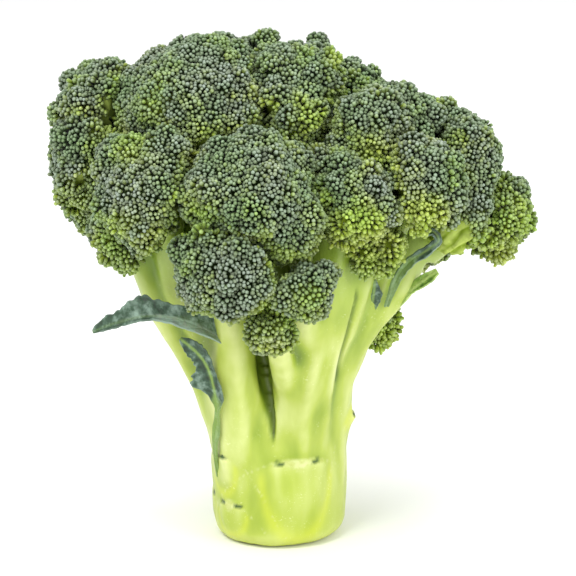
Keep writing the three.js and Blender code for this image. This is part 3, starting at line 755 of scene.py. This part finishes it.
def crown_buds(crown, core, growth, others, seed):
    """The buds of one crown, over the part of its core that is open to the air."""
    random = np.random.default_rng(seed)
    open_air, room = open_skin(core, growth, others)
    corners = np.array(triangles_of(core.data))
    corners = corners[open_air[corners].mean(axis=1) > 0.5]
    turned_in = TURNED_IN * (1 - room) ** 1.5 * open_air
    points = points_of(core.data) - normals_of(core.data) * turned_in[:, None]
    move_points(core.data, points)
    spots, ways, near = tried_places(points, normals_of(core.data), corners, room, random)

    # Bunches are raised first. The buds are then spaced on the raised places.
    middles = thinned(spots, BUNCH_STEP)
    tree = point_tree(spots[middles])
    nearest = [tree.find_n(spot, 2) for spot in spots]
    bunch = np.array([first[1] for first, _ in nearest])
    inner = np.array([second[2] - first[2] for first, second in nearest])
    inner = np.clip(inner / (BUNCH_INNER * BUNCH_STEP), 0, 1)
    open_more = OPEN_MORE if crown in OPEN_CROWNS else 1
    high = random.normal(0, BUNCH_VARIES * open_more, len(middles))
    if crown in OPEN_CROWNS:
        high += STRAY_RISE * (random.random(len(middles)) < STRAYS)
    roots = spots - ways * ROOT_DEEP * MM
    fan = (spots - spots[middles][bunch]) / (BUNCH_STEP / 2)
    rise = BUNCH_RISE * (0.3 + 0.7 * open_more) * (1 - (1 - inner) ** 2) + high[bunch]
    spots = spots + ways * rise[:, None]
    kept = thinned(spots, BUD_STEP)
    spots, ways, roots, fan = spots[kept], ways[kept], roots[kept], fan[kept]
    inner, bunch, near = inner[kept], bunch[kept], near[kept]

    count = len(spots)
    yellow = np.maximum(yellowness(spots), RIM_YELLOW * smoothstep(*RIM, ways @ growth))
    # Near other crowns the yellow is held back, so that the painted shade between crowns stays dark.
    yellow *= 0.35 + 0.65 * near
    yellow += random.normal(0, YELLOW_VARIES, count)
    yellow += random.normal(*BUNCH_YELLOW, len(middles))[bunch]
    yellow = np.clip(yellow, 0, 1)
    loose = LOOSE * yellow * random.random(count) ** 2
    spots = spots + ways * (random.normal(0, HEIGHT_VARIES, count) + loose)[:, None] * MM
    ways = ways + fan * (BUNCH_FAN * (1 - inner))[:, None] + random.normal(0, LEAN_VARIES, ways.shape)
    ways /= np.linalg.norm(ways, axis=1, keepdims=True)
    wide = np.clip(random.normal(1, SIZE_VARIES, count), 0.75, 1.25)
    long = wide * random.normal(1, SIZE_VARIES, count) * (1 + 0.25 * yellow)
    # A bud's own tone varies at random; buds in the creases between bunches and near other crowns are
    # painted darker, as painted shade.
    tone_and_shade = random.normal(*TONE, count) + 0.35 * (inner - 0.6) - 0.9 * (1 - near)
    spin = random.random(count) * 2 * math.pi
    mesh = planted(crown + "_buds", spots, roots, ways, wide, long, spin, (yellow, tone_and_shade))
    return new_piece(crown + "_buds", mesh)


# A bud's colours from its foot to its tip, closed and grey with bloom, or yellowed and opening. The
# grey ones are near black at the foot, painted shade between the buds, and palest just below the tip,
# partly bloom and partly painted highlight.
BLOOM_SHADE_AND_HIGHLIGHT = [
    (0.15, (0.010, 0.020, 0.003)),
    (0.55, (0.034, 0.066, 0.013)),
    (0.88, (0.198, 0.260, 0.165)),
    (1.0, (0.16, 0.21, 0.12)),
]
YELLOWED = [
    (0.15, (0.36, 0.44, 0.03)),
    (0.55, (0.27, 0.36, 0.025)),
    (0.88, (0.36, 0.46, 0.085)),
    (1.0, (0.27, 0.36, 0.05)),
]

# What those are multiplied by: from a bud in painted shade to the palest, and from green drifts to
# blue ones.
BUD_TONES = [(0.0, (0.30, 0.32, 0.22)), (0.3, (0.78, 0.80, 0.70)), (1.0, (1.36, 1.34, 1.55))]
BLOOM_DRIFT = [(0.35, (0.84, 0.98, 0.66)), (0.65, (1.10, 1.03, 1.18))]
# The core between the buds is painted near black, as painted shade in the gaps.
GAP_SHADE_GREEN = (0.012, 0.024, 0.004)
GAP_YELLOW = (0.22, 0.30, 0.02)
# The pale fan of small stems, darker between its ribs as painted shade in the creases.
STEM_FAN_WITH_CREASE_SHADE = [(0.1, (0.20, 0.29, 0.02)), (0.7, (0.44, 0.55, 0.12))]


def bud_skin():
    """Grey-green bud, blue with bloom and painted highlight at its tip and painted shade at its foot,
    or yellow-green and bare.
    """
    skin, shader = material_of("bud_skin", 0.5)
    up, yellow, tone_and_shade = marks(skin, "bud_marks")
    colour = blended(skin, yellow, ramp(skin, up, *BLOOM_SHADE_AND_HIGHLIGHT), ramp(skin, up, *YELLOWED))
    colour = blended(skin, 1.0, colour, ramp(skin, tone_and_shade, *BUD_TONES), "MULTIPLY")
    colour = blended(skin, 1.0, colour, ramp(skin, cloud(skin, 55, 2), *BLOOM_DRIFT), "MULTIPLY")
    join(skin, colour, shader.inputs["Base Color"])
    shader.inputs["Sheen Weight"].default_value = 0.12
    shader.inputs["Sheen Roughness"].default_value = 0.5
    return skin


def core_skin():
    """Painted shade, a near-black green, on the core between the buds, and pale stem green where the
    underside is bare.
    """
    skin, shader = material_of("crown_core_skin", 0.9)
    shader.inputs["Specular IOR Level"].default_value = 0.1
    bare, yellow, rib = marks(skin, "core_marks")
    mottle = ramp(skin, cloud(skin, 300, 3), (0.3, (0.75, 0.75, 0.75)), (0.7, (1.2, 1.2, 1.2)))
    colour = blended(skin, yellow, GAP_SHADE_GREEN, GAP_YELLOW)
    colour = blended(skin, bare, colour, ramp(skin, rib, *STEM_FAN_WITH_CREASE_SHADE))
    join(skin, blended(skin, 1.0, colour, mottle, "MULTIPLY"), shader.inputs["Base Color"])
    return skin


BUD_SKIN = bud_skin()
CORE_SKIN = core_skin()
CROWNS = sorted(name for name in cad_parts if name.startswith("crown"))
cores = {crown: melted_copy(crown, crown + "_core", CORE_GRAIN, CORE_MELT) for crown in CROWNS}
ribs = {}
for crown, core in cores.items():
    spots, ways = points_of(core.data), normals_of(core.data)
    high = SWELL * smooth_noise(spots, SWELL_WIDE, 5) - SUNK
    high += CREASE * (CREASE_LEVEL - np.abs(smooth_noise(spots, CREASE_WIDE, 6)))
    from_end = spots - np.array(BRANCH_ENDS.get(crown, (0, 0, 0))) * MM
    ribs[crown] = np.cos(FAN_RIBS * np.arctan2(from_end[:, 2], from_end[:, 0]))
    high += FAN_RIB_RISE * ribs[crown] * bareness(spots)
    for middle, reach, back in FLATTER:
        high -= back * smoothstep(1.0, 0.3, how_far(spots, middle, reach))
    move_points(core.data, spots + ways * (high * MM)[:, None])

trees = {crown: surface_tree(core.data) for crown, core in cores.items()}
for seed, (crown, core) in enumerate(cores.items()):
    growth = Vector(points_of(core.data).mean(axis=0)) - HEART
    growth = np.array(growth.normalized())
    others = [tree for name, tree in trees.items() if name != crown]
    buds = crown_buds(crown, core, growth, others, seed)
    spots, ways = points_of(core.data), normals_of(core.data)
    under = smoothstep(-0.3, -0.6, ways @ growth) * smoothstep(-0.1, -0.4, ways[:, 2])
    under = np.maximum(under, bareness(spots))
    # The third channel is the fan's ribs, which the skin paints darker between as painted shade.
    paint(core.data, "core_marks", under, yellowness(spots), 0.5 + 0.5 * ribs[crown])
    core.data.materials.append(CORE_SKIN)
    buds.data.materials.append(BUD_SKIN)
    for piece in (core, buds):
        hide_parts(crown)
        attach(piece, "root")

# The leaves.
# Five small leaves still grow among the branches: thin blue-green blades with a waxy bloom, a pale
# midrib and crinkles between their veins. Each starts as a grid that is bent along its midrib.

LEAF_ROWS = 96
LEAF_COLUMNS = 20
LEAF_THICK = 0.9 * MM

# The midrib's route from the stalk, the half widths of the blade to either side at even steps along
# it, the way the blade faces, how far its sides fold up, how far it crinkles, how pale its midrib
# is, and the share of its length along which its left side shows its back. Millimetres.
LEAVES = {
    "leaf_long": {
        "route": [
            (-15, -29, 78),
            (-26, -33, 85.5),
            (-37, -34.5, 90.5),
            (-48, -35, 91.5),
            (-58, -34, 89),
            (-67, -31, 85),
        ],
        "left": [0.6, 1.8, 2.6, 3.0, 2.0, 1.6, 1.8, 1.6, 0.5],
        "right": [0.6, 2.0, 6.4, 4.8, 5.2, 7.6, 4.2, 3.4, 0.8],
        "facing": (0.05, -0.8, 0.55),
        "fold": 0.42,
        "crinkle": 1.3,
        "rib": 0.15,
        "turned": 0.56,
    },
    "leaf_hanging": {
        "route": [
            (-23, -12, 25),
            (-24, -20, 39),
            (-22.8, -26, 54),
            (-23.5, -28.5, 62),
            (-25.2, -29.5, 69.5),
            (-27.5, -30, 74.5),
            (-31.2, -29.5, 78.5),
            (-36, -28, 82),
        ],
        "left": [0.6, 0.8, 0.9, 1.3, 0.9, 1.6, 3.8, 7.4, 7.0, 4.6, 4.0, 3.6, 3.3, 2.6, 0.4],
        "right": [0.6, 0.8, 1.0, 1.9, 0.9, 2.6, 3.6, 2.6, 2.2, 2.6, 3.2, 3.6, 3.2, 2.2, 0.4],
        "facing": (-0.45, -0.85, 0.1),
        "fold": 0.3,
        "crinkle": 1.1,
        "rib": 0.8,
        "turned": 0,
    },
    "leaf_curled": {
        "route": [
            (38, -19, 92),
            (41, -26, 103),
            (45.5, -29, 110),
            (51.5, -30, 114.5),
            (55.5, -30, 118),
            (53.5, -31, 121.5),
            (50.3, -32, 120),
        ],
        "left": [0.9, 1.5, 1.8, 1.7, 1.5, 1.3, 0.5],
        "right": [0.9, 1.5, 1.9, 1.7, 1.5, 1.3, 0.5],
        "facing": (0.3, -0.9, 0.3),
        "fold": 0.75,
        "crinkle": 0.4,
        "rib": 0.5,
        "turned": 0,
    },
    "leaf_cut": {
        "route": [(42, -11.5, 90), (46.5, -14, 95.5), (51.5, -15.8, 100.2), (56.8, -16.5, 104)],
        "left": [1.6, 2.2, 1.2, 2.2, 1.9, 1.2],
        "right": [1.4, 1.9, 1.4, 2.1, 2.4, 1.2],
        "facing": (-0.3, -0.8, 0.4),
        "fold": 0.2,
        "crinkle": 0.5,
        "rib": 0.8,
        "turned": 0,
    },
    "leaf_inner": {
        "route": [(31, -14, 86), (33, -21, 95), (33.5, -24.5, 103)],
        "left": [1.0, 3.0, 2.3, 0.5],
        "right": [1.0, 2.6, 3.0, 0.5],
        "facing": (0.2, -0.95, 0.1),
        "fold": 0.3,
        "crinkle": 0.6,
        "rib": 0.6,
        "turned": 0,
    },
}
VEINS = 9  # to each side of the midrib of a leaf so long
VEINS_LENGTH = 60
VEIN_LEAN = 0.12  # how far along the leaf a vein reaches by the time it meets the edge
VEIN_SUNK = 0.28
LUMP_SIZE = 3.1
WAVE_SIZE = 6.0
RAGGED = 0.22  # how uneven the edge is, as a share of the half width
RAGGED_STEP = 2.2
RIB_WIDE = 0.55
RIB_FOOT_WIDE = 2.6  # how much wider the rib is where the leaf is little more than its stem
RIB_FOOT = (0.44, 0.30)  # share of the leaf's length where that starts and is full
RIB_HIGH = 0.35


def curve_through(knots, shares):
    """The places on a smooth line through its knots, at the given shares of its way."""
    knots = np.array(knots, float).reshape(len(knots), -1)
    ends = np.vstack([2 * knots[0] - knots[1], knots, 2 * knots[-1] - knots[-2]])
    place = np.clip(shares, 0, 1) * (len(knots) - 1)
    step = np.minimum(place.astype(int), len(knots) - 2)
    t = (place - step)[:, None]
    a, b, c, d = (ends[step + k] for k in range(4))
    square = (2 * a - 5 * b + 4 * c - d) * t**2
    cube = (3 * b - a - 3 * c + d) * t**3
    return 0.5 * (2 * b + (c - a) * t + square + cube)


def leaf_blade(name, leaf, seed):
    bpy.ops.object.select_all(action="DESELECT")
    bpy.ops.mesh.primitive_grid_add(x_subdivisions=LEAF_COLUMNS, y_subdivisions=LEAF_ROWS, size=2)
    blade = bpy.context.object
    blade.name = name + "_blade"
    flat = points_of(blade.data)
    across, share = flat[:, 0], (flat[:, 1] + 1) / 2
    spine = curve_through(leaf["route"], share)
    ahead = curve_through(leaf["route"], share + 0.01) - curve_through(leaf["route"], share - 0.01)
    ahead /= np.linalg.norm(ahead, axis=1, keepdims=True)
    side = np.cross(ahead, np.array(leaf["facing"]))
    side /= np.linalg.norm(side, axis=1, keepdims=True)
    facing = np.cross(side, ahead)
    widths = [np.maximum(curve_through(leaf[edge], share)[:, 0], 0.3) for edge in ("left", "right")]
    half = np.where(across < 0, *widths)
    middle_line = curve_through(leaf["route"], np.linspace(0, 1, 40))
    long = np.linalg.norm(np.diff(middle_line, axis=0), axis=1).sum()
    sign = np.sign(across)
    zero = np.zeros(len(share))
    edge = np.stack([sign * 9, share * long / RAGGED_STEP, zero + seed * 4.0], axis=1)
    ragged = smooth_noise(edge, 1.0, seed) + 0.5 * smooth_noise(edge * 2.6, 1.0, seed + 1)
    half = half * (1 + RAGGED * ragged * across**2)
    out = np.abs(across) * half
    along_vein = share - VEIN_LEAN * np.abs(across)
    vein = np.abs(np.sin(math.pi * VEINS * along_vein * long / VEINS_LENGTH))
    furrow = smoothstep(0.28, 0.0, vein) * smoothstep(1.0, 0.6, np.abs(across))
    on_leaf = np.stack([across * half, share * long, zero], axis=1)
    lumps = smooth_noise(on_leaf, LUMP_SIZE, seed + 2)
    wave = smooth_noise(np.stack([sign * 5, share * long, zero], axis=1), WAVE_SIZE, seed + 3)
    high = leaf["fold"] * out
    high += leaf["crinkle"] * (0.45 * lumps * np.abs(across) + 1.1 * wave * across**2)
    high -= VEIN_SUNK * furrow * leaf["crinkle"]
    rib_wide = RIB_WIDE + RIB_FOOT_WIDE * smoothstep(*RIB_FOOT, share)
    rib = np.exp(-((across * half / rib_wide) ** 2))
    high += RIB_HIGH * rib
    place = spine + side * (sign * out)[:, None] + facing * high[:, None]
    move_points(blade.data, place * MM)
    turned = smoothstep(leaf["turned"], leaf["turned"] - 0.06, share)
    turned *= smoothstep(0.16, 0.06, across)
    paint(blade.data, "leaf_marks", rib * leaf["rib"], furrow, turned)
    # Its second channel is the crinkle lumps, which the skin paints paler and darker as painted
    # highlight and shade.
    paint(blade.data, "leaf_edge", np.abs(across), 0.5 + 0.5 * lumps)
    apply_modifier(blade, "SOLIDIFY", thickness=LEAF_THICK, offset=0, material_offset=1)
    apply_modifier(blade, "SUBSURF", levels=1, render_levels=1)
    select_only(blade)
    bpy.ops.object.mode_set(mode="EDIT")
    bpy.ops.mesh.select_all(action="SELECT")
    bpy.ops.mesh.normals_make_consistent(inside=False)
    bpy.ops.object.mode_set(mode="OBJECT")
    bpy.ops.object.shade_smooth()
    return blade


def leaf_skin(name, hollow_shade, middle, bloom_and_highlight, rib_green):
    """Blue-green blade, paler on its raised lumps, partly bloom and partly painted highlight, with
    painted shade in its hollows and sunk veins, and a pale green midrib.
    """
    skin, shader = material_of(name, 0.5)
    rib, furrow, turned = marks(skin, "leaf_marks")
    edge, lump, _ = marks(skin, "leaf_edge")
    fine = number(skin, "MULTIPLY", cloud(skin, 900, 4), 0.8)
    drift = number(skin, "ADD", cloud(skin, 260, 3), fine)
    # Raised lumps are painted paler and hollows darker, as painted highlight and shade, over the
    # random drift.
    lump_light = number(skin, "MULTIPLY", lump, 0.4)
    lump_light_and_drift = number(skin, "ADD", lump_light, number(skin, "MULTIPLY", drift, 0.45))
    green = ramp(skin, lump_light_and_drift, (0.44, hollow_shade), (0.60, middle), (0.82, bloom_and_highlight))
    green = blended(skin, turned, green, ramp(skin, drift, (0.7, LEAF_GREY), (1.0, bloom_and_highlight)))
    for where, strength, over in (
        (mask(skin, edge, 0.86, 1.0), 0.35, bloom_and_highlight),
        # painted shade in the sunk veins
        (furrow, 0.35, hollow_shade),
        (rib, 0.85, rib_green),
    ):
        green = washed(skin, where, strength, green, over)
    join(skin, green, shader.inputs["Base Color"])
    bump(skin, shader, cloud(skin, 650, 4), 0.0005)
    shader.inputs["Sheen Weight"].default_value = 0.15
    shader.inputs["Sheen Roughness"].default_value = 0.4
    return skin


# Each kind's painted shade in its hollows and veins, its middle green, its bloom, which is also
# painted highlight on its lumps, and its midrib, and the grey of a turned edge.
BLUE_GREEN = [(0.008, 0.024, 0.009), (0.028, 0.072, 0.036), (0.22, 0.32, 0.25), (0.28, 0.44, 0.07)]
GREY_GREEN = [(0.07, 0.10, 0.07), (0.19, 0.24, 0.19), (0.40, 0.44, 0.38), (0.40, 0.50, 0.22)]
PALE_GREEN = [(0.10, 0.22, 0.03), (0.28, 0.44, 0.07), (0.46, 0.60, 0.18), (0.50, 0.64, 0.20)]
LEAF_GREY = (0.22, 0.26, 0.21)
LEAF_FACE = leaf_skin("leaf_face", *BLUE_GREEN)
LEAF_BACK = leaf_skin("leaf_back", *GREY_GREEN)
CUT_FACE = leaf_skin("cut_leaf_face", *PALE_GREEN)

for seed, (name, leaf) in enumerate(LEAVES.items()):
    blade = leaf_blade(name, leaf, seed + 40)
    face = CUT_FACE if name == "leaf_cut" else LEAF_FACE
    for skin in (face, LEAF_BACK):
        blade.data.materials.append(skin)
    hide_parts(name)
    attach(blade, "root")

# The studio.
# A plain pale floor in even white air, one wide soft light above the left shoulder and weaker ones
# from the right and from above. The camera looks slightly down on the head from the front.

FLOOR_SIZE = 16.0
FLOOR_PAPER = (0.95, 0.95, 0.95, 1)
AIR_GLOW = 0.95
LIGHTS = [  # each one's place, width in metres and watts
    ("key_light", (-0.6, -1.0, 1.4), 0.6, 14.5),
    ("fill_light", (1.2, -1.1, 0.8), 0.8, 9),
    ("top_light", (0.1, 0.3, 1.7), 0.9, 8),
]
VIEW_FROM = {"distance": 0.8, "elevation": 13.0, "lens": 135.0, "sensor": 36}
LOOK_AT = Vector((2.6, 0, 94)) * MM

bpy.ops.object.select_all(action="DESELECT")
bpy.ops.mesh.primitive_plane_add(size=FLOOR_SIZE)
floor = bpy.context.object
floor.name = "floor"
paper, shader = material_of("pale_floor", 0.9)
shader.inputs["Base Color"].default_value = FLOOR_PAPER
floor.data.materials.append(paper)

for name, place, size, power in LIGHTS:
    lamp = bpy.data.lights.new(name, "AREA")
    lamp.size = size
    lamp.energy = power
    light = bpy.data.objects.new(name, lamp)
    light.location = place
    light.rotation_euler = (LOOK_AT - light.location).to_track_quat("-Z", "Y").to_euler()
    bpy.context.scene.collection.objects.link(light)

world = bpy.data.worlds.new("studio_air")
world.use_nodes = True
world.node_tree.nodes["Background"].inputs["Color"].default_value = (1, 1, 1, 1)
world.node_tree.nodes["Background"].inputs["Strength"].default_value = AIR_GLOW
bpy.context.scene.world = world
bpy.context.scene.view_settings.view_transform = "Standard"

elevation = math.radians(VIEW_FROM["elevation"])
camera = bpy.data.objects.new("camera", bpy.data.cameras.new("camera"))
camera.data.lens = VIEW_FROM["lens"]
camera.data.sensor_width = VIEW_FROM["sensor"]
away = Vector((0, -math.cos(elevation), math.sin(elevation))) * VIEW_FROM["distance"]
camera.location = LOOK_AT + away
camera.rotation_euler = (-away).to_track_quat("-Z", "Y").to_euler()
bpy.context.scene.collection.objects.link(camera)
bpy.context.scene.camera = camera
